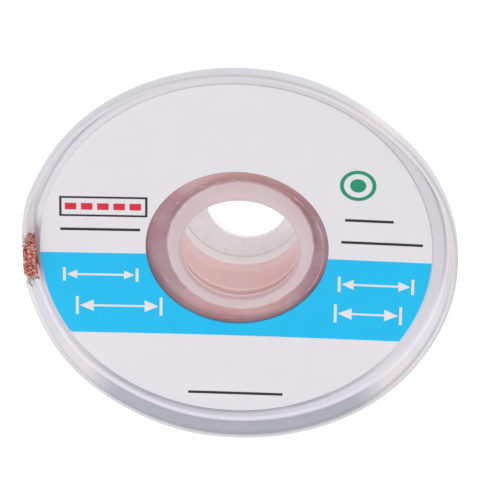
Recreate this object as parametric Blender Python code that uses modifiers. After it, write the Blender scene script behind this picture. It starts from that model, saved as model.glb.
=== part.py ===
# Spool of desoldering braid: two translucent plastic halves, a printed ring label and a coil of flat copper braid.
# Metres, +Z up, label uppermost. The origin is where the spool's axis meets the floor it lies on.
# Angles are in degrees around +Z from +X, seen from above.

import math

import bmesh
import bpy
from mathutils import Vector

mm = 0.001

# Roundness of turned pieces
turn_steps = 56
coil_steps = 40
notch_steps = 12
strip_steps = 8
lead_steps = 5

# Clearances
contact_gap = 0.3 * mm
label_gap = 0.15 * mm
disc_edge_clearance = 0.5 * mm
exit_gap = 0.35 * mm

# Fillets
fine_fillet = 0.15 * mm
lip_fillet = 0.2 * mm
edge_fillet = 0.25 * mm
fold_fillet = 0.8 * mm
floor_fillet = 1.8 * mm

# Bowl
rim_radius = 27.0 * mm
shoulder_height = 11.2 * mm
lip_height = 1.9 * mm
lip_width = 0.6 * mm
shoulder_wall = 1.15 * mm
shoulder_drop = 1.0 * mm
shoulder_taper = 0.25 * mm
bilge_inset = 2.0 * mm
bilge_drop = 2.9 * mm
shell_wall = 0.9 * mm
shell_lean = 0.6 * mm
floor_radius = 15.6 * mm
floor_underside = 2.0 * mm
floor_lean = 0.3 * mm
foot_radius = 9.0 * mm

# Hub
bore_radius = 7.5 * mm
bore_draft = 0.35 * mm
tube_wall = 1.2 * mm
sleeve_wall = 0.6 * mm
sleeve_rise = 0.5 * mm
light_ring_height = 2.4 * mm
ledge_height = 1.05 * mm
ledge_fall = 0.45 * mm
ledge_inset = 0.25 * mm
back_mouth_radius = 5.0 * mm

# Front disc
disc_drop = 0.3 * mm
disc_wall = 0.8 * mm
disc_edge_height = 0.4 * mm
disc_edge_chamfer = 0.75 * mm
dish_depth = 0.4 * mm
boss_radius = 10.4 * mm
boss_rise = 0.25 * mm
mouth_radius = 7.35 * mm
mouth_fillet = 0.4 * mm

# Label
label_margin = 1.1 * mm
label_hole_clearance = 0.9 * mm
label_thickness = 0.15 * mm
label_shift = Vector((-0.45 * mm, 0.12 * mm, 0.0))

# Braid
braid_width = 2.5 * mm
braid_thickness = 0.4 * mm
layer_pitch = 0.55 * mm
layers = 10
columns = 2
turn_groove = 0.14 * mm

# Free end of the braid, laid along the rim
end_from = 172.0
end_to = 191.0
notch_margin = 3.0
end_overlap = 0.25 * mm
end_tilt = 0.25 * mm
end_inset = 0.05 * mm
exit_depth = 1.3 * mm
lead_angle = 187.8
lead_run = 2.6 * mm
lead_bend = 1.15 * mm
lead_climb = 0.7 * mm


def new_collection(name):
    collection = bpy.data.collections.new(name)
    bpy.context.scene.collection.children.link(collection)
    return collection


def plastic(name, colour, roughness):
    material = bpy.data.materials.new(name)
    material.use_nodes = True
    shader = material.node_tree.nodes["Principled BSDF"]
    shader.inputs["Base Color"].default_value = (*colour, 1.0)
    shader.inputs["Roughness"].default_value = roughness
    return material


def metal(name, colour, roughness):
    material = plastic(name, colour, roughness)
    material.node_tree.nodes["Principled BSDF"].inputs["Metallic"].default_value = 1.0
    return material


def rounded(corners, bends=2):
    """Points of a closed outline whose corners (radius, height, fillet) are rounded where they have a fillet."""
    points = []
    count = len(corners)
    for index, (x, z, fillet) in enumerate(corners):
        corner = Vector((x, z))
        if not fillet:
            points.append(corner)
            continue
        before = Vector(corners[index - 1][:2]) - corner
        after = Vector(corners[(index + 1) % count][:2]) - corner
        half = before.angle(after) / 2
        reach = min(fillet / math.tan(half), 0.45 * before.length, 0.45 * after.length)
        radius = reach * math.tan(half)
        start = corner + before.normalized() * reach
        centre = corner + (before.normalized() + after.normalized()).normalized() * (radius / math.sin(half))
        first = start - centre
        sweep = (corner + after.normalized() * reach - centre).angle_signed(first)
        for step in range(bends + 1):
            turn = sweep * step / bends
            arm = Vector((first.x * math.cos(turn) - first.y * math.sin(turn),
                          first.x * math.sin(turn) + first.y * math.cos(turn)))
            points.append(centre + arm)
    return points


def turned(name, outline, material, collection, steps=turn_steps):
    """A closed outline in the XZ plane, running down its outer side, turned once around the Z axis."""
    mesh = bpy.data.meshes.new(name)
    form = bmesh.new()
    ring = [form.verts.new((point[0], 0.0, point[1])) for point in outline]
    for index, vertex in enumerate(ring):
        form.edges.new((vertex, ring[(index + 1) % len(ring)]))
    form.to_mesh(mesh)
    form.free()
    piece = bpy.data.objects.new(name, mesh)
    collection.objects.link(piece)
    piece.data.materials.append(material)
    screw = piece.modifiers.new("turn", "SCREW")
    screw.axis = "Z"
    screw.angle = math.tau
    screw.steps = steps
    screw.render_steps = steps
    screw.use_merge_vertices = True
    screw.merge_threshold = 0.00001
    screw.use_smooth_shade = True
    return piece


def sector(name, outline, start, end, collection, steps):
    """A closed outline in the XZ plane, swept from one angle to another and capped, as a solid mesh."""
    form = bmesh.new()
    ring = [form.verts.new((point[0], 0.0, point[1])) for point in outline]
    face = form.faces.new(ring)
    bmesh.ops.spin(form, geom=[face], axis=(0, 0, 1), cent=(0, 0, 0), steps=steps,
                   angle=math.radians(end - start), use_duplicate=False)
    bmesh.ops.recalc_face_normals(form, faces=form.faces)
    mesh = bpy.data.meshes.new(name)
    form.to_mesh(mesh)
    form.free()
    piece = bpy.data.objects.new(name, mesh)
    piece.rotation_euler.z = math.radians(start)
    collection.objects.link(piece)
    return piece


def as_tool(piece):
    piece.hide_render = True
    piece.display_type = "WIRE"


def combine(piece, tool, operation):
    cut = piece.modifiers.new(operation.lower(), "BOOLEAN")
    cut.operation = operation
    cut.solver = "EXACT"
    cut.object = tool
    as_tool(tool)


# Sizes that follow from the ones above
lip_top = shoulder_height + lip_height
lip_inner_radius = rim_radius - lip_width
shoulder_inner = rim_radius - shoulder_wall
bilge_radius = rim_radius - bilge_inset
bilge_height = shoulder_height - bilge_drop
shell_floor = floor_underside + shell_wall
disc_radius = shoulder_inner - disc_edge_clearance
disc_surface = shoulder_height - disc_drop
hub_surface = disc_surface - dish_depth
disc_underside = hub_surface - disc_wall
boss_top = hub_surface + boss_rise
tube_radius = bore_radius + tube_wall
sleeve_bore = tube_radius - sleeve_wall
sleeve_top = disc_underside - contact_gap
tube_top = sleeve_top - sleeve_rise
coil_bore = tube_radius + contact_gap
coil_radius = coil_bore + layers * layer_pitch
coil_bottom = shell_floor + contact_gap
coil_top = coil_bottom + columns * braid_width
label_radius = disc_radius - label_margin
label_hole_radius = boss_radius + label_hole_clearance
end_inner_radius = disc_radius - end_overlap
notch_top = shoulder_height + exit_gap


def disc_height(radius):
    """Height of the dished upper face of the front disc at a radius."""
    return hub_surface + dish_depth * (radius - tube_radius) / (disc_radius - tube_radius)


def end_underside(radius):
    """Height of the underside of the braid's free end, above the lowered stretch of lip."""
    slope = end_tilt / (rim_radius - end_inner_radius)
    return notch_top + contact_gap + slope * (radius - end_inner_radius)


def back_flange(material, collection, tools):
    """The bowl: lip, conical shell, flat floor, foot, ledge and the hub tube with its thin sleeve."""
    outline = rounded([
        (rim_radius, lip_top, lip_fillet),
        (rim_radius, shoulder_height, fold_fillet),
        (bilge_radius, bilge_height, fold_fillet),
        (floor_radius, floor_underside, floor_fillet),
        (foot_radius + edge_fillet, floor_underside, edge_fillet),
        (foot_radius, 0.0, edge_fillet),
        (back_mouth_radius, 0.0, fine_fillet),
        (back_mouth_radius, ledge_height - ledge_fall, edge_fillet),
        (bore_radius + bore_draft - ledge_inset, ledge_height, fine_fillet),
        (bore_radius + bore_draft, light_ring_height, 0),
        (bore_radius, tube_top, fine_fillet),
        (sleeve_bore, tube_top, 0),
        (sleeve_bore, sleeve_top, 0),
        (tube_radius, sleeve_top, fine_fillet),
        (tube_radius, shell_floor, fine_fillet),
        (floor_radius - floor_lean, shell_floor, floor_fillet),
        (bilge_radius - shell_lean, bilge_height + shell_wall, fold_fillet),
        (shoulder_inner - shoulder_taper, shoulder_height - shoulder_drop, edge_fillet),
        (shoulder_inner, shoulder_height, 0),
        (lip_inner_radius, lip_top, lip_fillet),
    ])
    bowl = turned("back_flange", outline, material, collection)
    inside = shoulder_inner - disc_edge_clearance
    outside = rim_radius + lip_width
    lowered = [(inside, notch_top), (outside, notch_top),
               (outside, lip_top + lip_height), (inside, lip_top + lip_height)]
    notch = sector("lip_notch", lowered, end_from - notch_margin, end_to + notch_margin, tools, notch_steps)
    combine(bowl, notch, "DIFFERENCE")
    return bowl


def front_flange(material, collection, tools):
    """The dished disc with its raised boss and the rounded mouth of the bore."""
    outline = rounded([
        (disc_radius, disc_height(disc_radius), edge_fillet),
        (disc_radius, disc_surface - disc_edge_height, 0),
        (disc_radius - disc_edge_chamfer, disc_surface - disc_wall, 0),
        (tube_radius, disc_underside, 0),
        (mouth_radius, disc_underside, fine_fillet),
        (mouth_radius, boss_top, mouth_fillet),
        (boss_radius, boss_top, fine_fillet),
        (boss_radius, disc_height(boss_radius), 0),
    ], bends=3)
    disc = turned("front_flange", outline, material, collection)
    inside, outside = disc_radius - exit_depth, disc_radius + exit_depth
    below, above = disc_underside - disc_wall, disc_surface + disc_wall
    opening = [(inside, below), (outside, below), (outside, above), (inside, above)]
    reach = math.degrees((braid_width / 2 + exit_gap) / disc_radius)
    notch = sector("disc_notch", opening, lead_angle - reach, lead_angle + reach, tools, lead_steps)
    combine(disc, notch, "DIFFERENCE")
    return disc


def label(material, collection):
    """The paper ring on the dished face, stuck a little off centre."""
    def stuck(radius):
        return disc_height(radius) + label_gap

    outline = [
        (label_radius, stuck(label_radius) + label_thickness),
        (label_radius, stuck(label_radius)),
        (label_hole_radius, stuck(label_hole_radius)),
        (label_hole_radius, stuck(label_hole_radius) + label_thickness),
    ]
    ring = turned("label", outline, material, collection)
    ring.location = label_shift
    return ring


def coil_outline():
    """Section of the wound braid: a bump for each layer on both ends, and a groove between the columns."""
    outer = []
    for column in range(columns, 0, -1):
        top = coil_bottom + column * braid_width
        outer.append((coil_radius - turn_groove, top - turn_groove / 2))
        outer.append((coil_radius, top - 2 * turn_groove))
        outer.append((coil_radius, top - braid_width + 2 * turn_groove))
    outer.append((coil_radius - turn_groove, coil_bottom + turn_groove / 2))
    lower = []
    for layer in range(layers):
        edge = coil_radius - layer * layer_pitch
        lower.append((edge - layer_pitch / 2, coil_bottom))
        if layer < layers - 1:
            lower.append((edge - layer_pitch, coil_bottom + turn_groove))
    inner = [(coil_bore, coil_bottom + turn_groove), (coil_bore, coil_top - turn_groove)]
    upper = [(radius, coil_top + coil_bottom - height) for radius, height in reversed(lower)]
    return outer + lower + inner + upper


def braid_end(tools):
    """The free end on the rim: a flat strip along the lowered lip."""
    outer = rim_radius - end_inset
    strip = [
        (end_inner_radius, end_underside(end_inner_radius) + braid_thickness),
        (outer, end_underside(outer) + braid_thickness),
        (outer, end_underside(outer)),
        (end_inner_radius, end_underside(end_inner_radius)),
    ]
    return sector("end_strip", strip, end_from, end_to, tools, strip_steps)


def braid_lead(tools):
    """The stretch from the coil to the rim: out under the disc, and up through the notch in its edge."""
    half = braid_thickness / 2
    under_disc = disc_surface - disc_wall - contact_gap - half
    strip_middle = end_underside(end_inner_radius) + half
    centre_line = [
        Vector((coil_radius - 2 * layer_pitch, coil_top - braid_width)),
        Vector((coil_radius + 2 * layer_pitch, coil_top - braid_width / 2)),
        Vector((disc_radius - lead_run, under_disc - contact_gap)),
        Vector((disc_radius - lead_bend, under_disc)),
        Vector((disc_radius - lead_bend + lead_climb, disc_surface - disc_wall / 2)),
        Vector((disc_radius - end_inset, disc_surface + contact_gap)),
        Vector((end_inner_radius + braid_thickness, strip_middle)),
    ]
    upper, lower = [], []
    for index, point in enumerate(centre_line):
        before = centre_line[max(index - 1, 0)]
        after = centre_line[min(index + 1, len(centre_line) - 1)]
        along = (after - before).normalized()
        across = Vector((-along.y, along.x)) * half
        upper.append(point + across)
        lower.append(point - across)
    outline = [(point.x, point.y) for point in upper + lower[::-1]]
    reach = math.degrees(braid_width / 2 / disc_radius)
    return sector("lead_strip", outline, lead_angle - reach, lead_angle + reach, tools, lead_steps)


def copper_braid(material, collection, tools):
    """The coil on the hub, with its lead to the rim and its free end."""
    coil = turned("copper_braid", coil_outline(), material, collection, steps=coil_steps)
    combine(coil, braid_lead(tools), "UNION")
    combine(coil, braid_end(tools), "UNION")
    return coil


def main():
    for item in list(bpy.data.objects):
        bpy.data.objects.remove(item)
    parts = new_collection("desoldering_braid")
    tools = new_collection("cutters")
    clear_plastic = plastic("clear_plastic", (0.72, 0.70, 0.74), 0.35)
    printed_paper = plastic("printed_paper", (0.80, 0.79, 0.83), 0.45)
    copper = metal("copper", (0.72, 0.33, 0.22), 0.4)
    back_flange(clear_plastic, parts, tools)
    front_flange(clear_plastic, parts, tools)
    label(printed_paper, parts)
    copper_braid(copper, parts, tools)


main()
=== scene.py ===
# Looks for a spool of desoldering braid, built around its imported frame.
# Shapes are drawn in millimetres and brought to metres when a piece is finished.

import math
import random

import bmesh
import bpy
from mathutils import Matrix, Vector, noise


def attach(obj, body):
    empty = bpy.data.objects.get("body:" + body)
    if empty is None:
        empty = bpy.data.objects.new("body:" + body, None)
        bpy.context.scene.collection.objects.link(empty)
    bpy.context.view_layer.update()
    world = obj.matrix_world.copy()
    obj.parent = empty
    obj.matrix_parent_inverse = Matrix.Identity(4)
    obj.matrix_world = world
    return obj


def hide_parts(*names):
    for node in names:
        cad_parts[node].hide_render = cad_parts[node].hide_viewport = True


mm = 0.001
axis = Vector((0, 0, 1))

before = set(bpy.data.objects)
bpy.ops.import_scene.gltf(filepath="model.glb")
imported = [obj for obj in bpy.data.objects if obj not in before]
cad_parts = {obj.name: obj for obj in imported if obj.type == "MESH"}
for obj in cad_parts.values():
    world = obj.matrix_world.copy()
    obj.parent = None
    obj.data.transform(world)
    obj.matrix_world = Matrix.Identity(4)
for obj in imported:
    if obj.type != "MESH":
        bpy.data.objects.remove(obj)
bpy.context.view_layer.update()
print("frame loaded:", ", ".join(sorted(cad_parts)))


# Camera and light

photo = {
    "size": 480,  # pixels, both ways
    "hubPixel": (240, 252),  # where the hub's axis meets the label's plane
    "pixelsPerMm": 8.076,  # at that point
    "elevation": 55.93,  # degrees above the label's plane
    "roll": 183.8,
    "distance": 700.0,  # mm
    "labelHeight": 11.2,  # mm
    "sensor": 36,
}

studio = {
    "sky": 0.55,
    "skyColour": (1.0, 1.0, 1.0, 1.0),
    "key": {"place": (-160, -260, 420), "size": 320, "power": 1.2},
    "fill": {"place": (300, 220, 300), "size": 360, "power": 0.3},
    "floorColour": (0.24, 0.24, 0.245, 1.0),
    "floorCloud": (0.28, 0.28, 0.285, 1.0),
    "floorRoughness": 0.9,
    "floorGlow": 0.90,
    "floorReach": 1500,  # mm from the middle
    "floorDrop": 0.02,  # mm below the foot
}


def addCamera():
    tilt = math.radians(photo["elevation"])
    roll = math.radians(photo["roll"])
    away = Vector((0, math.cos(tilt), math.sin(tilt)))
    level = (-away).cross(axis).normalized()
    lifted = level.cross(-away)
    right = level * math.cos(roll) + lifted * math.sin(roll)
    top = lifted * math.cos(roll) - level * math.sin(roll)
    lower = (photo["hubPixel"][1] - photo["size"] / 2) / photo["pixelsPerMm"]
    sideways = (photo["hubPixel"][0] - photo["size"] / 2) / photo["pixelsPerMm"]
    target = Vector((0, 0, photo["labelHeight"]))
    place = target + away * photo["distance"] + top * lower - right * sideways
    data = bpy.data.cameras.new("camera")
    data.sensor_width = photo["sensor"]
    data.lens = photo["pixelsPerMm"] * photo["distance"] * photo["sensor"] / photo["size"]
    data.clip_start = 0.01
    data.clip_end = 20
    camera = bpy.data.objects.new("camera", data)
    turn = Matrix((right, top, away)).transposed().to_4x4()
    camera.matrix_world = Matrix.Translation(place * mm) @ turn
    bpy.context.scene.collection.objects.link(camera)
    bpy.context.scene.camera = camera


def addSoftbox(name, place, size, power):
    data = bpy.data.lights.new(name, "AREA")
    data.shape = "DISK"
    data.size = size * mm
    data.energy = power
    lamp = bpy.data.objects.new(name, data)
    lamp.location = Vector(place) * mm
    lamp.rotation_euler = Vector(place).to_track_quat("Z", "Y").to_euler()
    bpy.context.scene.collection.objects.link(lamp)


def addStudio():
    scene = bpy.context.scene
    scene.view_settings.view_transform = "Standard"
    world = bpy.data.worlds.new("studio")
    world.use_nodes = True
    sky = world.node_tree.nodes["Background"]
    sky.inputs["Color"].default_value = studio["skyColour"]
    sky.inputs["Strength"].default_value = studio["sky"]
    scene.world = world
    addSoftbox("keyLight", **studio["key"])
    addSoftbox("fillLight", **studio["fill"])


# Shader maths

class Signal:
    # one socket of a material, so that a pattern can be written as a sum

    def __init__(self, tree, socket=None):
        self.tree = tree
        self.socket = socket

    def node(self, kind, settings=None, values=None, out=0):
        made = self.tree.nodes.new("ShaderNode" + kind)
        for name, value in (settings or {}).items():
            setattr(made, name, value)
        for key, value in (values or {}).items():
            if isinstance(value, Signal):
                self.tree.links.new(value.socket, made.inputs[key])
            else:
                made.inputs[key].default_value = value
        return Signal(self.tree, made.outputs[out])

    def maths(self, operation, *others):
        return self.node("Math", {"operation": operation}, dict(enumerate((self, *others))))

    def __add__(self, other):
        return self.maths("ADD", other)

    def __sub__(self, other):
        return self.maths("SUBTRACT", other)

    def __rsub__(self, other):
        return self.node("Math", {"operation": "SUBTRACT"}, {0: other, 1: self})

    def __mul__(self, other):
        return self.maths("MULTIPLY", other)

    def __truediv__(self, other):
        return self.maths("DIVIDE", other)

    def __rtruediv__(self, other):
        return self.node("Math", {"operation": "DIVIDE"}, {0: other, 1: self})

    def __abs__(self):
        return self.maths("ABSOLUTE")

    __radd__ = __add__
    __rmul__ = __mul__

    def rise(self, low, high):
        # 0 below low, 1 above high, smooth between
        return self.node("MapRange", {"interpolation_type": "SMOOTHSTEP"},
                         {"Value": self, "From Min": low, "From Max": high})

    def between(self, low, high, soft):
        return self.rise(low - soft, low + soft) * (1 - self.rise(high - soft, high + soft))

    def mix(self, first, second):
        # colours, with this signal as the factor
        return self.node("Mix", {"data_type": "RGBA"}, {0: self, 6: first, 7: second}, out=2)

    def parts(self):
        split = self.node("SeparateXYZ", values={0: self})
        return [Signal(self.tree, socket) for socket in split.socket.node.outputs]

    def cloud(self, scale, detail=3.0, rough=0.5, warp=0.0):
        return self.node("TexNoise", values={"Vector": self, "Scale": scale, "Detail": detail,
                                             "Roughness": rough, "Distortion": warp})

    def cells(self, scale):
        return self.node("TexVoronoi", values={"Vector": self, "Scale": scale})

    def turned(self, angle=0.0, stretch=(1, 1, 1), shift=(0, 0, 0)):
        return self.node("Mapping", values={"Vector": self, "Location": shift,
                                            "Rotation": (0, 0, math.radians(angle)), "Scale": stretch})

    def bump(self, height, strength, under=None):
        # depth in metres for each unit of height
        values = {"Height": self, "Strength": strength, "Distance": height}
        if under is not None:
            values["Normal"] = under
        return self.node("Bump", values=values)


def startMaterial(name):
    # the material, a signal with the place in millimetres, and the shader
    material = bpy.data.materials.new(name)
    material.use_nodes = True
    start = Signal(material.node_tree)
    place = start.node("TexCoord", out=3)
    inMm = start.node("VectorMath", {"operation": "SCALE"}, {0: place, "Scale": 1 / mm})
    return material, inMm, material.node_tree.nodes["Principled BSDF"]


def connect(shader, values):
    for name, value in values.items():
        if isinstance(value, Signal):
            value.tree.links.new(value.socket, shader.inputs[name])
        else:
            shader.inputs[name].default_value = value


def polar(place):
    x, y, z = place.parts()
    radius = (x * x + y * y).maths("SQRT")
    return radius, y.maths("ARCTAN2", x), z


def awayFrom(place, degrees):
    # radians round the axis, either way, from a direction
    return abs(polar(place.turned(-degrees))[1])


def fromPaper(place):
    # distance from the middle of the printed ring, which lies off the axis
    return polar(place.turned(shift=(-paper["shift"][0], -paper["shift"][1], 0)))[0]


# Shapes

def rounded(form, corners, segments):
    # a flat face in the XZ plane from (radius, height, fillet) corners, each rounded by its fillet
    ring = [form.verts.new((x, 0, z)) for x, z, fillet in corners]
    form.faces.new(ring)
    places = [vertex.co.copy() for vertex in ring]
    for index, vertex in enumerate(ring):
        before = places[index - 1] - places[index]
        after = places[(index + 1) % len(places)] - places[index]
        fillet = corners[index][2]
        if fillet:
            reach = min(fillet / math.tan(before.angle(after) / 2), 0.45 * before.length, 0.45 * after.length)
            bmesh.ops.bevel(form, geom=[vertex], offset=reach, offset_type="OFFSET", affect="VERTICES",
                            segments=segments, profile=0.5, material=-1)


def turnedForm(corners, steps, segments=4):
    form = bmesh.new()
    rounded(form, corners, segments)
    bmesh.ops.delete(form, geom=form.faces[:], context="FACES_ONLY")
    spinAround(form, steps)
    return form


def spinAround(form, steps):
    bmesh.ops.spin(form, geom=form.verts[:] + form.edges[:], axis=axis, cent=(0, 0, 0), steps=steps,
                   angle=math.tau, use_merge=True, use_duplicate=False)
    bmesh.ops.remove_doubles(form, verts=form.verts[:], dist=0.0005)
    bmesh.ops.recalc_face_normals(form, faces=form.faces[:])


def finish(name, form, material, sharp=32):
    bmesh.ops.scale(form, vec=(mm, mm, mm), verts=form.verts[:])
    mesh = bpy.data.meshes.new(name)
    form.to_mesh(mesh)
    form.free()
    mesh.materials.append(material)
    mesh.shade_smooth()
    mesh.set_sharp_from_angle(angle=math.radians(sharp))
    piece = bpy.data.objects.new(name, mesh)
    bpy.context.scene.collection.objects.link(piece)
    return piece


def cutAway(piece, inner, outer, low, high, start, end):
    # takes a sector of a ring out of a piece; millimetres and degrees
    form = bmesh.new()
    corners = [(inner, low, 0), (outer, low, 0), (outer, high, 0), (inner, high, 0)]
    rounded(form, corners, 1)
    turn = Matrix.Rotation(math.radians(start), 3, "Z")
    bmesh.ops.rotate(form, verts=form.verts[:], cent=(0, 0, 0), matrix=turn)
    bmesh.ops.spin(form, geom=form.faces[:], axis=axis, cent=(0, 0, 0), steps=24,
                   angle=math.radians(end - start), use_merge=False, use_duplicate=False)
    bmesh.ops.recalc_face_normals(form, faces=form.faces[:])
    tool = finish("cutter", form, piece.data.materials[0])
    cut = piece.modifiers.new("cut", "BOOLEAN")
    cut.operation = "DIFFERENCE"
    cut.solver = "EXACT"
    cut.object = tool
    shapes = bpy.context.evaluated_depsgraph_get()
    carved = bpy.data.meshes.new_from_object(piece.evaluated_get(shapes))
    piece.modifiers.remove(cut)
    piece.data = carved
    bpy.data.objects.remove(tool)


def joinFrame(piece, node):
    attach(piece, "root")
    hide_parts(node)
    print("piece:", piece.name, len(piece.data.polygons), "faces")


# Moulded plastic

plastic = {
    "white": (0.73, 0.71, 0.755, 1.0),
    "shade": (0.68, 0.66, 0.71, 1.0),
    "speck": (0.45, 0.42, 0.44, 1.0),
    "hairline": (0.92, 0.9, 0.93, 1.0),
    # painted highlight for the tube's top edge and the boss's edge; the turning marks take a little of it
    "paintedHighlight": (0.92, 0.78, 0.78, 1.0),
    # where the copper's colour spreads into a wall beside it
    "mauve": (0.675, 0.345, 0.355, 1.0),
    "mauveCloud": (0.74, 0.47, 0.50, 1.0),
    "mauveLit": (0.83, 0.475, 0.475, 1.0),  # painted light, on the near and far sides of the hub
    "mauveShade": (0.495, 0.255, 0.31, 1.0),  # painted shade, on its left and right
    "besideBraid": (0.56, 0.40, 0.52, 1.0),
    # the hub, from the boss's face down the tube to the ledge at the back mouth
    "collar": (0.685, 0.54, 0.555, 1.0),
    "paleBlush": (0.78, 0.64, 0.66, 1.0),
    # reddish tint at the tube's brink and the bore's mouth, where copper lies close under thin plastic, with
    # painted shade
    "shadedCopperTint": (0.94, 0.62, 0.62, 1.0),
    "blush": (0.78, 0.515, 0.49, 1.0),
    "blushCloud": (0.76, 0.54, 0.52, 1.0),
    "milk": (0.80, 0.765, 0.75, 1.0),
    "ledge": (0.72, 0.74, 0.76, 1.0),
    # wear on the ledge, and painted shade in its crease
    "worn": (0.52, 0.47, 0.49, 1.0),
    # the lip and the disc's margin
    "warm": (0.80, 0.715, 0.71, 1.0),
    # painted shade on one stretch inside the lip, darker still at its foot
    "lipShade": (0.56, 0.56, 0.635, 1.0),
    "lipShadeFoot": (0.40, 0.40, 0.45, 1.0),
    # painted shade for the lip's crest
    "shadedCrest": (0.58, 0.565, 0.605, 1.0),
    # painted shadow round the paper's edge
    "paperEdgeShadow": (0.40, 0.39, 0.43, 1.0),
    "marginBlush": (0.80, 0.72, 0.76, 1.0),
    "opacity": 0.34,  # of one surface; light crosses two for each wall
    "rimOpacity": 0.93,
    "tubeOpacity": 0.86,
    "ledgeOpacity": 0.66,
    "mauveOpacity": 0.78,
    "roughness": 0.40,
    "scratchDepth": 0.012 * mm,
    "grainDepth": 0.02 * mm,
    "swellDepth": 0.10 * mm,
}

# painted glow, by zone: emission that stands in for the light that the milky plastic carries into shaded
# places
glows = {
    "wall": 0.14,
    "ring": 0.17,
    "line": 0.1,
    "brink": 0.1,
    "ledge": 0.27,
    "rim": 0.05,
    "farRim": 0.16,
    "lip": 0.13,
    "slit": 0.24,
    "bossEdge": 0.06,
    "mouth": 0.16,
    "under": 0.06,
    "discSide": 0.2,
    "margin": 0.07,
    "nearMauve": 0.07,
}


def finishPlastic(place, shader, colour, opacity, glow):
    haze = place.cloud(0.22, 4.0, 0.55)
    flow = place.cloud(1.4, 3.0, 0.6, 0.6)
    colour = (haze.rise(0.35, 0.7) * 0.3).mix(colour, plastic["shade"])
    # fine hairlines that cross at two angles, and short scuffs
    hairs = place.turned(28, (0.35, 9.0, 0.35)).cloud(1.6, 2.0).rise(0.66, 0.78)
    hairs = hairs + place.turned(-51, (0.3, 8.0, 0.3)).cloud(1.3, 2.0).rise(0.68, 0.8)
    scuffs = place.cloud(3.2, 5.0, 0.75).rise(0.56, 0.74)
    specks = 1 - place.cells(1.1).rise(0.05, 0.11)
    colour = (specks * 0.3).mix(colour, plastic["speck"])
    colour = (hairs * 0.12).mix(colour, plastic["hairline"])
    swell = place.cloud(0.5, 2.0, 0.4).bump(plastic["swellDepth"], 0.5)
    grain = flow.bump(plastic["grainDepth"], 0.5, swell)
    marks = (hairs * -1.0 - scuffs * 0.4).bump(plastic["scratchDepth"], 0.7, grain)
    connect(shader, {
        "Base Color": colour,
        "Roughness": plastic["roughness"] + scuffs * 0.18 + hairs * 0.15 + flow * 0.06,
        "Alpha": opacity + haze.rise(0.3, 0.75) * 0.05 + hairs * 0.05 + specks * 0.08,
        "Emission Color": glow.mix((0.0, 0.0, 0.0, 1.0), colour),
        "Emission Strength": 1.0,
        "Normal": marks,
        "IOR": 1.49,
        "Specular IOR Level": 0.3,
        "Coat Roughness": 0.12,
        "Coat Weight": 0.06,
    })


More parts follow.
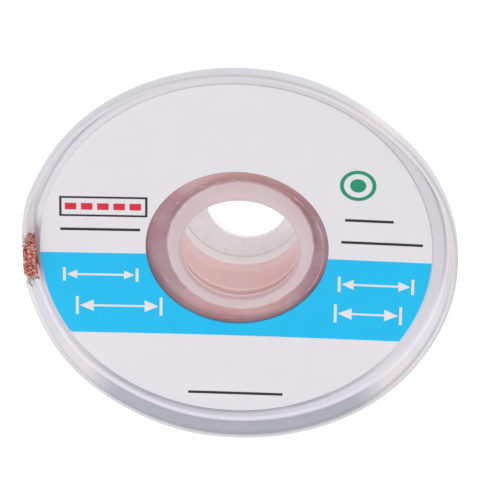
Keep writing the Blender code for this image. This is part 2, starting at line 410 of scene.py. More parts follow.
def bowlPlastic():
    material, place, shader = startMaterial("bowlPlastic")
    radius, angle, z = polar(place)
    clear = plastic["opacity"]
    foot, tubeTop, bore = bowl["footRadius"], bowl["tubeTop"], bowl["boreRadius"]
    ringTop, ledgeTop, ledgeEdge = bowl["ringHeight"], bowl["ledgeHeight"], bowl["ledgeRadius"]
    shoulder, lipTop = bowl["shoulderHeight"], bowl["lipTop"]
    lipInside = bowl["rimRadius"] - bowl["lipWidth"]

    # zones of the hub
    hub = 1 - radius.rise(foot + 0.05, foot + 0.35)
    tubeEnd = hub * z.rise(tubeTop - 0.04, tubeTop)
    brink = tubeEnd * (1 - radius.rise(bore, bore + 0.8))
    wall = hub * z.between(ringTop + 0.02, tubeTop - 0.04, 0.04)
    line = hub * z.between(tubeTop - 0.6, tubeTop - 0.38, 0.05)
    ring = hub * z.between(ledgeTop + 0.05, ringTop + 0.02, 0.06)
    ledge = hub * (1 - z.rise(ledgeTop - 0.01, ledgeTop + 0.07))
    # painted shade in the crease where the ledge meets the ring's wall
    creaseShade = hub * z.between(ledgeTop - 0.07, ledgeTop + 0.11, 0.05)
    creaseShade = creaseShade * radius.rise(ledgeEdge - 0.3, ledgeEdge - 0.1)

    # marks of the mould and of wear, and painted shade in the ledge's crease
    facets = (angle * 15.0 + place.cloud(0.4) * 9.0).maths("SINE").rise(0.7, 1.0)
    grooves = (radius * 11.0 + place.cloud(0.6) * 2.0).maths("SINE").rise(0.2, 1.0)
    nicks = (1 - place.cells(2.0).rise(0.10, 0.17)) * radius.between(ledgeEdge - 1.0, ledgeEdge + 0.2, 0.1)
    streaks = facets * place.cloud(0.9).rise(0.42, 0.6) * 0.20 + grooves * 0.13 + nicks * 0.5
    worn = creaseShade * (0.2 + place.cloud(1.7).rise(0.35, 0.65) * 0.5) + streaks * ledge
    turnings = (z * 13.0 + place.cloud(0.3)).maths("SINE").rise(0.0, 1.0) * z.rise(4.5, 8.0) * wall
    blush = place.turned(stretch=(1, 1, 2.5)).cloud(0.5).rise(0.3, 0.7)
    blush = blush.mix(plastic["blush"], plastic["blushCloud"])

    colour = (hub - ledge).mix(plastic["white"], plastic["paleBlush"])
    colour = ring.mix(colour, plastic["milk"])
    colour = wall.mix(colour, blush)
    # painted highlight just under the tube's top edge, and lighter turning marks
    colour = (line * 0.6 + turnings * 0.16).mix(colour, plastic["paintedHighlight"])
    # reddish tint at the tube's brink, with painted shade
    colour = brink.mix(colour, plastic["shadedCopperTint"])
    colour = (ledge * 0.8).mix(colour, plastic["ledge"])
    colour = worn.mix(colour, plastic["worn"])
    besideCoil = radius.between(9.3, 15.0, 0.8) * z.between(0.5, 9.5, 0.5)
    colour = (besideCoil * 0.7).mix(colour, plastic["mauve"])

    # the lip is warm inside, with painted shade on one stretch that is darkest at its foot
    inner = z.rise(shoulder - 0.3, shoulder - 0.1) * (1 - radius.rise(lipInside + 0.05, lipInside + 0.2))
    reach = rim["lipShadeReach"]
    lipShade = inner * (1 - awayFrom(place, rim["lipShadeAt"]).rise(reach - 0.13, reach + 0.13))
    shadedCrest = z.rise(lipTop - 0.5, lipTop - 0.15)
    colour = ((inner - lipShade) * 0.85).mix(colour, plastic["warm"])
    colour = lipShade.mix(colour, plastic["lipShade"])
    # the darkest painted shade, at the stretch's foot
    colour = (lipShade * z.between(shoulder - 0.2, shoulder + 0.15, 0.06) * 0.3).mix(colour, plastic["lipShadeFoot"])
    # painted shade darkens the lip's crest
    colour = (shadedCrest * 0.3).mix(colour, plastic["shadedCrest"])

    # the walls thicken towards the rim
    opacity = clear + z.rise(7.0, 8.6) * (1 - hub) * (plastic["rimOpacity"] - clear)
    opacity = opacity + (wall + tubeEnd) * (plastic["tubeOpacity"] - clear)
    opacity = opacity + (ring + ledge) * (plastic["ledgeOpacity"] - clear)

    glow = wall * glows["wall"] + ring * glows["ring"] + line * glows["line"] + brink * glows["brink"]
    glow = glow + ledge * glows["ledge"] + (inner - lipShade) * glows["lip"]
    slit = radius.between(24.4, 26.0, 0.2) * z.between(9.2, 11.2, 0.1)
    lit = (z.rise(9.5, 10.5) - shadedCrest) * (1 - hub)
    far = 1 - place.parts()[1].rise(-9.0, 0.0)
    glow = glow + lit * (glows["rim"] + far * (1 - lipShade * 0.7) * glows["farRim"]) + slit * glows["slit"]
    finishPlastic(place, shader, colour, opacity, glow)
    return material


def discPlastic():
    material, place, shader = startMaterial("discPlastic")
    radius, angle, z = polar(place)
    along = place.parts()[1]
    clear = plastic["opacity"]
    under = 1 - z.rise(disc["underside"] + 0.05, disc["underside"] + 0.25)
    face = 1 - under

    # copper tints what lies over the coil, and the plastic over the hub's tube is pale
    wobble = place.cloud(0.8).rise(0.3, 0.7) * 0.12
    oval = polar(place.turned(stretch=(1, 0.952, 1)))[0] + wobble
    faceOval = polar(place.turned(stretch=(1, 0.958, 1), shift=(0, -0.594, 0)))[0] + wobble
    beyond = oval.rise(9.05, 9.22) * under + faceOval.rise(8.9, 9.35) * face
    overCoil = 1 - radius.rise(15.0, 19.0)
    tinted = beyond * overCoil
    # darker on the left and right with painted shade, lighter towards the near and far ends with painted
    # light
    mauve = (angle * 2.0).maths("COSINE").rise(-0.7, 0.7).mix(plastic["mauve"], plastic["mauveShade"])
    mauve = (place.cloud(1.6, 4.0, 0.7).rise(0.35, 0.7) * 0.3).mix(mauve, plastic["mauveCloud"])
    mauve = (abs(along).rise(6.0, 11.0) * 0.75).mix(mauve, plastic["mauveLit"])
    colour = overCoil.mix(plastic["white"], plastic["paleBlush"])
    colour = (face * (1 - beyond)).mix(colour, plastic["collar"])
    colour = tinted.mix(colour, mauve)

    # the mouth of the bore, reddish with painted shade, and a painted highlight on a line round the boss
    mouth = (1 - radius.rise(disc["mouthRadius"] + 0.1, disc["mouthRadius"] + 0.4)) * (1 - z.rise(9.9, 10.8))
    edge = radius.between(disc["bossRadius"] - 0.12, disc["bossRadius"] + 0.04, 0.03) * face
    edge = edge * place.cloud(0.35).rise(0.42, 0.6)
    # reddish tint at the mouth, with painted shade
    colour = (mouth * 0.8).mix(colour, plastic["shadedCopperTint"])
    colour = (edge * 0.8).mix(colour, plastic["paintedHighlight"])

    # a painted shadow round the paper's edge and a blush at the disc's edge, both on the side of the lip's
    # painted shade, and a tint beside the braid
    margin = radius.rise(22.5, 24.0)
    shadedSide = 1 - awayFrom(place, rim["lipShadeAt"]).rise(0.5, 1.1)
    paperEdgeShadow = fromPaper(place).between(paper["radius"] - 0.3, paper["radius"] + 0.6, 0.3) * shadedSide
    beside = margin * (1 - awayFrom(place, tail["underAt"]).rise(0.13, 0.2))
    colour = (paperEdgeShadow * 0.95).mix(colour, plastic["paperEdgeShadow"])
    colour = (radius.rise(25.0, 25.2) * shadedSide * 0.5).mix(colour, plastic["marginBlush"])
    colour = (beside * 0.75).mix(colour, plastic["besideBraid"])

    opacity = clear + margin * (plastic["rimOpacity"] - clear)
    opacity = opacity + (1 - margin) * under * (plastic["mauveOpacity"] - clear)
    opacity = opacity + face * (0.5 - beyond * 0.68 + radius.rise(12.0, 15.0) * 0.18) + edge * 0.3

    side = radius.rise(24.9, 25.1) * (1 - z.rise(10.75, disc["edgeHeight"]))
    glow = edge * glows["bossEdge"] + mouth * glows["mouth"] + under * (1 - margin) * glows["under"]
    glow = glow + side * glows["discSide"] + margin * radius.rise(24.4, 25.0) * shadedSide * glows["margin"]
    glow = glow + tinted * face * along.rise(5.0, 10.0) * glows["nearMauve"]
    finishPlastic(place, shader, colour, opacity, glow)
    return material


rim = {
    "lipShadeAt": 272.0,  # degrees, the middle of the painted shade inside the lip
    "lipShadeReach": 0.70,  # radians to each side of it
    # stretches where the rim is out of round: middle, half width in degrees, and how far out in mm
    "dents": [(52.0, 15.0, -0.50), (135.0, 14.0, 0.2), (160.0, 12.0, 0.12), (169.0, 4.5, 0.22),
              (202.0, 10.0, -0.2), (258.0, 8.0, 0.12), (335.0, 12.0, -0.15)],
    "stiffRadius": 18.0,  # inside this nothing is out of round
    "softWidth": 7.0,  # and beyond it the dents grow to their full depth over this
    "lean": 0.36,  # the lip stands this much higher on one side
    "leanAt": 335.0,
}


def settleRim(form):
    # a rim that has been handled: a little out of round, its lip uneven
    shoulder = bowl["shoulderHeight"]
    lip = bowl["lipTop"] - shoulder
    for vertex in form.verts:
        radius = vertex.co.xy.length
        angle = math.degrees(math.atan2(vertex.co.y, vertex.co.x))
        share = min(1.0, max(0.0, (radius - rim["stiffRadius"]) / rim["softWidth"])) ** 2
        push = 0.0
        for middle, width, out in rim["dents"]:
            off = (angle - middle + 180) % 360 - 180
            push += out * math.exp(-0.5 * (off / width) ** 2)
        vertex.co.xy *= (radius + push * share) / radius
        raised = min(1.0, max(0.0, (vertex.co.z - shoulder) / lip))
        vertex.co.z += raised * rim["lean"] * math.cos(math.radians(angle - rim["leanAt"]))


bowl = {
    "rimRadius": 27.0,
    "shoulderHeight": 11.2,
    "lipTop": 13.1,
    "lipWidth": 0.6,
    "shoulderInner": 25.85,
    "bilgeRadius": 25.0,
    "bilgeHeight": 8.3,
    "floorRadius": 15.6,
    "floorHeight": 2.0,
    "wall": 0.9,
    "rimWall": 0.6,
    "bigFillet": 0.8,
    "floorFillet": 1.8,
    "softEdge": 0.15,
    "footRadius": 9.0,
    "tubeRadius": 8.7,
    "sleeveBore": 8.1,
    "sleeveTop": 9.4,
    "boreRadius": 7.5,
    "tubeTop": 8.9,
    "ringHeight": 2.4,
    "ringRadius": 7.85,
    "ledgeHeight": 1.05,
    "ledgeRadius": 7.6,
    "mouthRadius": 5.0,
    "mouthHeight": 0.6,
    "mouthShift": 0.55,  # the back mouth lies this far off the axis
    "notch": (25.35, 28.0, 11.55, 15.0, 177.0, 192.4),  # inner, outer, low, high, from and to
    "steps": 288,
}


def makeBowl():
    size = bowl
    inside = size["floorHeight"] + size["wall"]
    big, soft = size["bigFillet"], size["softEdge"]
    # radius, height and fillet, from the lip down the outside, up the bore and back along the inside
    form = turnedForm([
        (size["rimRadius"], size["lipTop"], 0.2),
        (size["rimRadius"], size["shoulderHeight"], big),
        (size["bilgeRadius"], size["bilgeHeight"], big),
        (size["floorRadius"], size["floorHeight"], size["floorFillet"]),
        (size["footRadius"] + 0.25, size["floorHeight"], 0.25),
        (size["footRadius"], 0, 0.25),
        (size["mouthRadius"], 0, soft),
        (size["mouthRadius"], size["mouthHeight"], 0.25),
        (size["ledgeRadius"], size["ledgeHeight"], soft),
        (size["ringRadius"], size["ringHeight"], 0.1),
        (size["boreRadius"], size["tubeTop"], soft),
        (size["sleeveBore"], size["tubeTop"], 0.06),
        (size["sleeveBore"], size["sleeveTop"], 0.1),
        (size["tubeRadius"], size["sleeveTop"], soft),
        (size["tubeRadius"], inside, soft),
        (size["floorRadius"] - 0.3, inside, size["floorFillet"]),
        (size["bilgeRadius"] - size["rimWall"], size["bilgeHeight"] + size["wall"], big),
        (size["shoulderInner"] - 0.25, size["shoulderHeight"] - 1.0, 0.25),
        (size["shoulderInner"], size["shoulderHeight"], 0.08),
        (size["rimRadius"] - size["lipWidth"], size["lipTop"], 0.2),
    ], size["steps"])
    for vertex in form.verts:
        if vertex.co.xy.length < size["mouthRadius"] + 0.4 and vertex.co.z < size["mouthHeight"] + 0.2:
            vertex.co.x += size["mouthShift"]
    settleRim(form)
    piece = finish("milkyBowl", form, bowlPlastic())
    cutAway(piece, *size["notch"])
    joinFrame(piece, "back_flange")


disc = {
    "radius": 25.35,
    "edgeHeight": 10.9,
    "dishDepth": 0.4,
    "wall": 0.8,
    "bossRadius": 10.4,
    "bossTop": 10.75,
    "mouthRadius": 7.35,
    "mouthFillet": 0.4,
    "mouthFlat": 0.22,  # the mouth's near side is drawn in this far
    "underside": 9.7,
    "steps": 288,
}


def discHeight(radius):
    # the dished upper face
    inner = bowl["tubeRadius"]
    return disc["edgeHeight"] - disc["dishDepth"] * (disc["radius"] - radius) / (disc["radius"] - inner)


def makeDisc():
    size = disc
    # radius, height and fillet, from the rim inwards along the underside and back over the boss
    form = turnedForm([
        (size["radius"], discHeight(size["radius"]), 0.25),
        (size["radius"], size["edgeHeight"] - 0.4, 0.1),
        (size["radius"] - 0.75, size["edgeHeight"] - size["wall"], 0.2),
        (bowl["tubeRadius"], size["underside"], 0),
        (size["mouthRadius"], size["underside"], 0.15),
        (size["mouthRadius"], size["bossTop"], size["mouthFillet"]),
        (size["bossRadius"], size["bossTop"], 0.15),
        (size["bossRadius"], discHeight(size["bossRadius"]), 0.08),
    ], size["steps"], segments=6)
    for vertex in form.verts:
        reach = vertex.co.xy.length
        if reach < size["mouthRadius"] + size["mouthFillet"] + 0.02 and vertex.co.y > 0:
            vertex.co.y -= size["mouthFlat"] * (vertex.co.y / reach) ** 2
    settleRim(form)
    piece = finish("milkyDisc", form, discPlastic())
    joinFrame(piece, "front_flange")


# Printed ring

paper = {
    "radius": 24.3,
    "holeRadius": 11.35,
    "top": 0.22,  # upper face above the disc
    "thickness": 0.19,
    "shift": (-0.5, 0.07),  # of its outer edge, off the spool's axis
    "holeShift": (-0.39, 0.22),
    "turn": 2.5,  # degrees, the print against the spool's X axis
    "ripple": 0.02,
    "fineRipple": 0.012,
    "white": (0.80, 0.785, 0.825, 1.0),
    "whiteCloud": (0.75, 0.735, 0.785, 1.0),
    "blue": (0.014, 0.53, 0.90, 1.0),
    "blueCloud": (0.010, 0.50, 0.87, 1.0),
    "ink": (0.030, 0.028, 0.035, 1.0),
    "red": (0.68, 0.035, 0.060, 1.0),
    "green": (0.020, 0.30, 0.16, 1.0),
    "worn": (0.70, 0.68, 0.72, 1.0),
    "edgeGlow": 0.2,
    # plain marks, as left, right, low and high edges along the print
    "band": (-12.9, -0.95),  # its low and high edges
    "frame": (-22.4, -11.5, 4.45, 7.45),
    "frameLine": 0.3,
    "rules": [(-22.3, -12.4, 2.35, 2.75), (12.9, 18.9, 4.75, 5.15), (12.5, 22.6, 1.45, 1.85),
              (-6.3, 5.6, -21.8, -21.4)],
    "dashes": (-22.0, -12.0, 5.45, 6.45),
    "dashPitch": 2.0,
    "dotAt": (14.4, 10.15),
    "dotRadius": 1.0,
    "dotRing": (1.75, 2.25),
    "arrows": [(-22.0, -12.6, -5.2, -3.2), (-20.4, -9.6, -10.2, -7.5), (12.2, 21.7, -5.8, -3.5),
               (11.8, 20.3, -10.4, -7.7)],
    "tick": 0.35,
    "shaft": 0.14,  # half its thickness
    "steps": 288,
    "rings": 14,
}


def bar(u, v, left, right, low, high):
    return u.between(left, right, 0.05) * v.between(low, high, 0.05)


def paperPrint():
    material, place, shader = startMaterial("printedPaper")
    u, v = place.turned(-paper["turn"]).parts()[:2]
    edge = paper["radius"]
    fibre = place.cloud(9.0, 4.0, 0.7)
    mottle = place.cloud(0.35)
    white = (mottle.rise(0.35, 0.7) * 0.3).mix(paper["white"], paper["whiteCloud"])
    blue = (mottle.rise(0.3, 0.7) * 0.5).mix(paper["blue"], paper["blueCloud"])
    band = v.between(*paper["band"], 0.05)
    colour = band.mix(white, blue)

    left, right, low, high = paper["frame"]
    line = paper["frameLine"]
    inked = bar(u, v, left, right, low, high)
    inked = inked * (1 - bar(u, v, left + line, right - line, low + line, high - line))
    for edges in paper["rules"]:
        inked = inked + bar(u, v, *edges)
    colour = inked.mix(colour, paper["ink"])
    dashes = (u / paper["dashPitch"]).maths("FRACT").between(0.14, 0.86, 0.03) * bar(u, v, *paper["dashes"])
    colour = dashes.mix(colour, paper["red"])
    dotX, dotY = u - paper["dotAt"][0], v - paper["dotAt"][1]
    far = (dotX * dotX + dotY * dotY).maths("SQRT")
    dot = 1 - far.rise(paper["dotRadius"] - 0.05, paper["dotRadius"] + 0.05)
    colour = (far.between(*paper["dotRing"], 0.05) + dot).mix(colour, paper["green"])
    colour = arrows(u, v).mix(colour, paper["white"])

    rimward = fromPaper(place)
    worn = rimward.rise(edge - 0.2, edge) * fibre.rise(0.35, 0.65) * 0.25
    colour = worn.mix(colour, paper["worn"])
    side = rimward.rise(edge - 0.05, edge - 0.01) * paper["edgeGlow"]
    tooth = fibre.bump(0.012 * mm, 0.5)
    connect(shader, {
        "Base Color": colour,
        "Emission Color": side.mix((0.0, 0.0, 0.0, 1.0), colour),
        "Emission Strength": 1.0,
        "Roughness": 0.46 + fibre * 0.12 - band * 0.06,
        "Normal": mottle.bump(0.05 * mm, 0.4, tooth),
        "IOR": 1.45,
        "Specular IOR Level": 0.14,
    })
    return material


def arrows(u, v):
    # double-headed arrows between end ticks, as on a drawing's dimensions
    marks = 0
    tick, shaft = paper["tick"], paper["shaft"]
    for left, right, low, high in paper["arrows"]:
        middle = (low + high) / 2
        ticks = bar(u, v, left, left + tick, low, high) + bar(u, v, right - tick, right, low, high)
        line = bar(u, v, left + 2 * tick, right - 2 * tick, middle - shaft, middle + shaft)
        span = abs(u - (left + right) / 2)
        tip = (right - left) / 2 - 0.5
        half = (high - low) * 0.32
        taper = abs(v - middle) - (tip - span) * 0.5
        head = span.between(tip - 2 * half, tip, 0.03) * (1 - taper.rise(-0.03, 0.03))
        marks = marks + (ticks + line + head)
    return marks.rise(0.2, 0.8)


def makePaper():
    size = paper
    form = bmesh.new()
    inner = form.verts.new((size["holeRadius"], 0, 0))
    outer = form.verts.new((size["radius"], 0, 0))
    edge = form.edges.new((inner, outer))
    bmesh.ops.subdivide_edges(form, edges=[edge], cuts=size["rings"])
    spinAround(form, size["steps"])
    hole, whole = Vector(size["holeShift"]), Vector(size["shift"])
    width = size["radius"] - size["holeRadius"]
    for vertex in form.verts:
        radius = vertex.co.xy.length
        broad, fine = noise.noise(vertex.co * 0.22), noise.noise(vertex.co * 0.7)
        ripple = size["ripple"] * broad + size["fineRipple"] * fine
        vertex.co.z = discHeight(radius) + size["top"] + ripple - size["ripple"]
        vertex.co.xy += hole.lerp(whole, (radius - size["holeRadius"]) / width)
    if sum(face.normal.z for face in form.faces) < 0:
        bmesh.ops.reverse_faces(form, faces=form.faces[:])
    bmesh.ops.solidify(form, geom=form.faces[:], thickness=size["thickness"])
    piece = finish("printedRing", form, paperPrint())
    joinFrame(piece, "label")


# Copper braid

braid = {
    "width": 2.5,
    "coilBore": 9.0,
    "coilRadius": 14.5,
    "coilBottom": 3.2,
    "columns": 2,
    "layers": 10,
    "steps": 576,
    "edgeIn": 0.14,  # the corners of the coil's outer edge
    "crown": 0.28,  # the outer turn's rounded shoulder
    "sideRows": 9,
    "gap": 0.22,  # depth of the gap between two turns, on the coil's ends
    "strandHeight": 0.05,
    "wander": 0.08,  # how unevenly the turns lie
    "printAlong": 1.6,  # the crossed strands in the material, radians for each mm
    "printAcross": 2.6,
    "wire": 0.048,  # radius of one wire
    "strands": 12,  # each way round the flattened tube; a multiple of four
    "wires": 3,  # side by side in a strand
    "pitch": 5.2,
    "thickness": 0.40,
    "over": 0.10,  # how far a strand rises over the one that it crosses
    "stray": 0.016,
    "copper": (0.70, 0.24, 0.18, 1.0),
    # painted highlight on the copper
    "paintedHighlight": (1.0, 0.67, 0.57, 1.0),
    # oxide on dark patches, and painted shade in crevices and between strands
    "oxideAndShade": (0.38, 0.09, 0.07, 1.0),
    "tarnish": (0.10, 0.07, 0.065, 1.0),
}


def copperMetal(name, weave=False, tarnish=False):
    material, place, shader = startMaterial(name)
    patches = place.cloud(0.8, 4.0, 0.6)
    fine = place.cloud(7.0, 3.0, 0.6)
    colour = patches.rise(0.35, 0.7).mix(braid["copper"], braid["oxideAndShade"])
    # painted highlights on clumps of strands, and painted shade in the crevices between them
    litAndShadedClumps = place.cloud(2.4, 2.0, 0.6)
    colour = (litAndShadedClumps.rise(0.52, 0.62) * 0.75).mix(colour, braid["paintedHighlight"])
    colour = ((1 - litAndShadedClumps.rise(0.40, 0.49)) * 0.85).mix(colour, braid["oxideAndShade"])
    # painted glints on single wires
    colour = (fine.rise(0.48, 0.7) * 0.7).mix(colour, braid["paintedHighlight"])
    if tarnish:
        colour = patches.rise(0.1, 0.4).mix(colour, braid["tarnish"])
    rough = 0.32 + fine * 0.16 + patches * 0.1
    normal = fine.bump(0.01 * mm, 0.5)
    if weave:
        angle, height = polar(place)[1:]
        along = angle * ((braid["coilBore"] + braid["coilRadius"]) / 2 * braid["printAlong"])
        across = height * braid["printAcross"]
        # darker between the crossed strands with painted shade
        threads = (along + across).maths("SINE") * (along - across).maths("SINE")
        colour = (threads.rise(-0.6, 0.5) * 0.6).mix(braid["oxideAndShade"], colour)
        normal = threads.bump(0.05 * mm, 0.5, normal)
    connect(shader, {
        "Base Color": colour,
        "Metallic": 1.0,
        "Roughness": rough,
        "Normal": normal,
    })
    return material


def makeCoil():
    # a turned form whose outer side shows the columns and whose ends show the turns
    size = braid
    outer, bottom, edgeIn = size["coilRadius"], size["coilBottom"], size["edgeIn"]
    pitch = (outer - size["coilBore"]) / size["layers"]
    top = bottom + size["columns"] * size["width"]
    row = (size["width"] - 2 * size["crown"]) / (size["sideRows"] - 1)
    corners = []
    for column in range(size["columns"], 0, -1):
        high = bottom + column * size["width"]
        corners.append((outer - edgeIn, high - 0.02, 0))
        for step in range(size["sideRows"]):
            corners.append((outer, high - size["crown"] - step * row, 0))
    corners.append((outer - edgeIn, bottom + 0.02, 0))
    lower = []
    for layer in range(size["layers"]):
        edge = outer - layer * pitch
        lower.append((edge - pitch * 0.3, bottom, 0))
        lower.append((edge - pitch * 0.7, bottom, 0))
        if layer < size["layers"] - 1:
            lower.append((edge - pitch * 0.93, bottom + size["gap"], 0))
            lower.append((edge - pitch * 1.07, bottom + size["gap"], 0))
    corners += lower
    corners += [(size["coilBore"], bottom + edgeIn, 0), (size["coilBore"], top - edgeIn, 0)]
    corners += [(x, top + bottom - z, 0) for x, z, fillet in reversed(lower)]
    form = turnedForm(corners, size["steps"])

    # strands stand out in low waves
    across = size["strands"] * 2 / size["pitch"]
    middle = (top + bottom) / 2
    stand = size["strandHeight"]
    for vertex in form.verts:
        radius = vertex.co.xy.length
        angle = math.atan2(vertex.co.y, vertex.co.x)
        layer = round((outer - radius) / pitch)
        run = angle * round(radius * across / 2) * 2
        if radius > outer - 0.1:
            slope = (vertex.co.z - bottom) / size["width"] * math.tau * 2
            lift = stand * math.sin((run + slope) / 2) * math.sin((run - slope) / 2) - stand
            vertex.co.xy *= (radius + lift) / radius
        elif radius > size["coilBore"] + 0.1:
            wander = size["wander"] * noise.noise(vertex.co * 0.35)
            lift = stand * math.sin(run + layer * 1.9) + wander - 0.09
            vertex.co.z += lift if vertex.co.z > middle else -lift
    return form


def ribbonWires(centre, sideways, lift, length, width, seed, fray=None):
    # routes of the wires of a flattened tube braid along a ribbon; centre, sideways and lift give the
    # ribbon's middle line, its direction across and its upward direction at a length
    dice = random.Random(seed)
    count = braid["strands"]
    pitch = braid["pitch"]
    gap = 2 * braid["wire"] * 1.06  # from one wire of a strand to the next
    sunk = braid["thickness"] / 2 - braid["wire"] - braid["over"]
    routes = []
    for family in (1, -1):
        for strand in range(count):
            springs = dice.uniform(-1, 1)
            loosened = Vector((dice.uniform(-1, 1), dice.uniform(-1, 1), dice.uniform(-0.4, 1.4)))
            loosened *= braid["stray"] * 2
            for wire in range(braid["wires"]):
                shift = (wire - (braid["wires"] - 1) / 2) * gap / (2 * width)
                stray = Vector((dice.uniform(-1, 1), dice.uniform(-1, 1), dice.uniform(-1, 1)))
                stray = stray * braid["stray"] + loosened

                def spot(s):
                    turn = (strand / count + family * s / pitch + shift) % 1.0
                    across = 4 * abs(turn - 0.5) - 1
                    face = math.copysign(math.sqrt(max(0.0, 1 - across ** 6)), 0.5 - turn)
                    rows = math.pi * count * s / pitch
                    weave = family * math.cos(rows + family * (math.pi * strand - math.pi / 4))
                    high = face * (sunk + weave * braid["over"])
                    middle = centre(s)
                    drift = noise.noise_vector(middle * 0.9 + loosened * 40) * braid["stray"] * 2.5
                    point = middle + sideways(s) * (across * (width / 2 - braid["wire"])) + lift(s) * high
                    return point + stray + drift, across

                end = length
                if fray:
                    end = length - fray["short"] - fray["ragged"]
                    uneven = dice.uniform(0, fray["ragged"])
                    while end < length - fray["short"] * (0.5 + 0.5 * spot(end)[1]) - uneven:
                        end += 0.1
                samples = max(8, round(end / 0.14))
                route = [spot(end * step / samples)[0] for step in range(samples + 1)]
                if fray:
                    inward = 0.5 - 0.5 * spot(end)[1]
                    loose = fray["least"] + (fray["most"] - fray["least"]) * inward * dice.random() ** 1.1
                    route += frayed(route, loose, springs, fray, dice)
                routes.append(route)
    return routes


def frayed(route, extra, springs, fray, dice):
    # the loose end of a wire, springing away from the weave
    heading = (route[-1] - route[-3]).normalized()
    point = route[-1].copy()
    added = []
    steps = max(3, round(extra / 0.12))
    bend = Vector((dice.uniform(-1, 1), dice.uniform(-1, 1), dice.uniform(-0.5, 0.6))) * fray["bend"]
    bend += Vector((springs * fray["spring"], 0, fray["rise"]))
    for step in range(steps):
        heading = (heading + bend).normalized()
        point = keptOnRim(point + heading * (extra / steps))
        added.append(point.copy())
    return added


def keptOnRim(point):
    # a loose wire lies between the disc's margin and the lip's outer edge, no higher than the lip
    reach = point.xy.length
    held = min(max(reach, disc["radius"]), tail["outerLimit"]) / reach
    return Vector((point.x * held, point.y * held, min(point.z, tail["ceiling"])))


def wireMesh(name, routes, material, radius):
    data = bpy.data.curves.new(name, "CURVE")
    data.dimensions = "3D"
    data.bevel_depth = radius * mm
    data.bevel_resolution = 1
    data.use_fill_caps = True
    for route in routes:
        line = data.splines.new("POLY")
        line.points.add(len(route) - 1)
        for spot, point in zip(line.points, route):
            spot.co = (*(point * mm), 1.0)
            spot.radius = 1.0
    rope = bpy.data.objects.new(name + "Route", data)
    bpy.context.scene.collection.objects.link(rope)
    bpy.context.view_layer.update()
    shapes = bpy.context.evaluated_depsgraph_get()
    mesh = bpy.data.meshes.new_from_object(rope.evaluated_get(shapes))
    bpy.data.objects.remove(rope)
    mesh.name = name
    mesh.materials.clear()
    mesh.materials.append(material)
    mesh.shade_smooth()
    piece = bpy.data.objects.new(name, mesh)
    bpy.context.scene.collection.objects.link(piece)
    return piece


tail = {
    "from": 191.3,  # degrees round the rim, where the braid folds over
    "to": 176.8,
    "underAt": 185.9,  # degrees, the middle of the stretch that lies under the disc's margin
    "middle": 26.08,  # radius of its middle line
    "width": 1.74,
    "height": 12.16,
    "tilt": 0.13,  # rise for each mm outwards
    "slant": 0.55,  # how far the fold leans, for each mm outwards
    "slantReach": 3.5,
    "tuck": 1.6,  # length folded back under
    "fold": 0.19,  # radius of the fold
    "foldLength": 0.35,
    "wave": 0.06,
    "narrowFrom": 5.0,  # from this length on it narrows, by a tenth over 3 mm
    "fray": {
        "short": 2.6,  # how much earlier the weave ends at its outer edge
        "ragged": 1.0,
        "least": 0.1,  # lengths of the loose wires, longest at the inner edge
        "most": 3.3,
        "bend": 0.2,
        "spring": 0.05,  # the bend that the wires of a strand share
        "rise": 0.02,
    },
    "outerLimit": 26.9,  # loose wires stay inside this radius
    "ceiling": 12.75,  # and under this height
}


def tailRibbon():
    length = math.radians(tail["from"] - tail["to"]) * tail["middle"]
    tuck = tail["tuck"]

    def angleAt(s):
        return math.radians(tail["from"]) - abs(s - tuck) / tail["middle"]

    def centre(s):
        angle = angleAt(s)
        rise = (math.tanh((s - tuck) / tail["foldLength"]) - 1) * tail["fold"]
        wave = tail["wave"] * math.sin(s * 1.1)
        reach = tail["middle"] + tail["wave"] * math.sin(s * 0.8 + 0.6)
        return Vector((math.cos(angle) * reach, math.sin(angle) * reach, tail["height"] + rise + wave))

    def sideways(s):
        angle = angleAt(s)
        lean = tail["slant"] * max(0.0, 1 - abs(s - tuck) / tail["slantReach"])
        narrow = 1 - 0.1 * max(0.0, s - tail["narrowFrom"]) / 3
        out = Vector((math.cos(angle), math.sin(angle), tail["tilt"]))
        along = Vector((-math.sin(angle), math.cos(angle), 0))
        return (out - along * lean) * narrow

    def lift(s):
        return axis * (1.0 if s > tuck else -1.0)

    return ribbonWires(centre, sideways, lift, length + tuck, tail["width"], 7, tail["fray"])


lead = {
    "angle": 187.8,
    "width": 2.3,
    # radius and height along its middle line, from the coil to the rim, up between the disc and the bowl
    "path": [(13.4, 5.9), (15.6, 7.0), (19.4, 8.2), (22.7, 9.05), (24.5, 9.4), (25.3, 9.95), (25.6, 10.7),
             (25.62, 11.4), (25.9, 11.76)],
}


def leadRibbon():
    angle = math.radians(lead["angle"])
    out = Vector((math.cos(angle), math.sin(angle), 0))
    along = Vector((-math.sin(angle), math.cos(angle), 0))
    path = [out * radius + axis * height for radius, height in lead["path"]]
    lengths = [0.0]
    for first, second in zip(path, path[1:]):
        lengths.append(lengths[-1] + (second - first).length)

    def centre(s):
        for index in range(len(path) - 1):
            if s <= lengths[index + 1] or index == len(path) - 2:
                share = (s - lengths[index]) / (lengths[index + 1] - lengths[index])
                before = path[max(index - 1, 0)]
                after = path[min(index + 2, len(path) - 1)]
                return curved(before, path[index], path[index + 1], after, share)

    def sideways(s):
        return along

    def lift(s):
        ahead = (centre(s + 0.05) - centre(s - 0.05)).normalized()
        return along.cross(ahead) * -1

    return ribbonWires(centre, sideways, lift, lengths[-1], lead["width"], 11)


def curved(before, first, second, after, share):
    # a smooth curve through the knots
    slopeIn = (second - before) / 2
    slopeOut = (after - first) / 2
    ease = share ** 2 * (3 - 2 * share)
    leaving = slopeIn * (share * (1 - share) ** 2)
    arriving = slopeOut * (share ** 2 * (1 - share))
    return first * (1 - ease) + second * ease + leaving - arriving


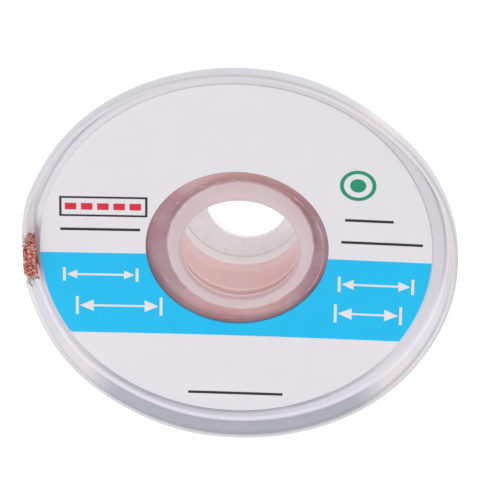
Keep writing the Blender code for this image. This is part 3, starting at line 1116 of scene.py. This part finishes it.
hairs = {
    "count": 6,
    "from": (190.6, 191.4),  # degrees round the rim
    "radius": (25.5, 26.4),
    "height": 12.0,
    "aside": (-0.25, 0.15),
    "curl": (-0.12, 0.14),  # radians for each step
    "steps": (9, 17),
    "step": 0.13,
    "restHeight": 11.4,  # where a hair comes to lie
    "restFrom": 25.8,  # beyond this radius it climbs the lip
    "climb": 3.5,
    "thickness": 0.6,  # of a wire of the braid
}


def looseWires():
    # hairs that spring from the fold and curl over the lip
    dice = random.Random(5)
    routes = []
    for hair in range(hairs["count"]):
        angle = math.radians(dice.uniform(*hairs["from"]))
        radius = dice.uniform(*hairs["radius"])
        point = Vector((math.cos(angle) * radius, math.sin(angle) * radius, hairs["height"]))
        along = Vector((-math.sin(angle), math.cos(angle), 0))
        heading = (along + Vector((dice.uniform(*hairs["aside"]), 0, 0))).normalized()
        curl = dice.uniform(*hairs["curl"])
        route = [point]
        for step in range(dice.randint(*hairs["steps"])):
            heading = (Matrix.Rotation(curl, 3, "Z") @ heading).normalized()
            point = keptOnRim(point + heading * hairs["step"])
            rest = hairs["restHeight"] + hairs["climb"] * max(0.0, point.xy.length - hairs["restFrom"])
            point.z += 0.4 * (rest - point.z)
            route.append(point.copy())
        routes.append(route)
    return routes


def makeBraid():
    wire = braid["wire"]
    copper = copperMetal("wireCopper")
    dull = copperMetal("hairCopper", tarnish=True)
    pieces = [
        finish("woundBraid", makeCoil(), copperMetal("woundCopper", weave=True), sharp=60),
        wireMesh("braidLead", leadRibbon(), copper, wire),
        wireMesh("braidEnd", tailRibbon(), copper, wire),
        wireMesh("braidHairs", looseWires(), dull, wire * hairs["thickness"]),
    ]
    for piece in pieces:
        joinFrame(piece, "copper_braid")


# Floor

def floorFinish():
    material, place, shader = startMaterial("paleFloor")
    speckle = place.cloud(0.05, 2.0)
    connect(shader, {
        "Base Color": speckle.mix(studio["floorColour"], studio["floorCloud"]),
        "Roughness": studio["floorRoughness"],
        "Emission Color": (1.0, 1.0, 1.0, 1.0),
        "Emission Strength": studio["floorGlow"],
    })
    return material


def makeFloor():
    form = bmesh.new()
    bmesh.ops.create_grid(form, x_segments=1, y_segments=1, size=studio["floorReach"])
    bmesh.ops.translate(form, vec=(0, 0, -studio["floorDrop"]), verts=form.verts[:])
    floor = finish("floor", form, floorFinish())


addCamera()
addStudio()
makeFloor()
makeBowl()
makeDisc()
makePaper()
makeBraid()
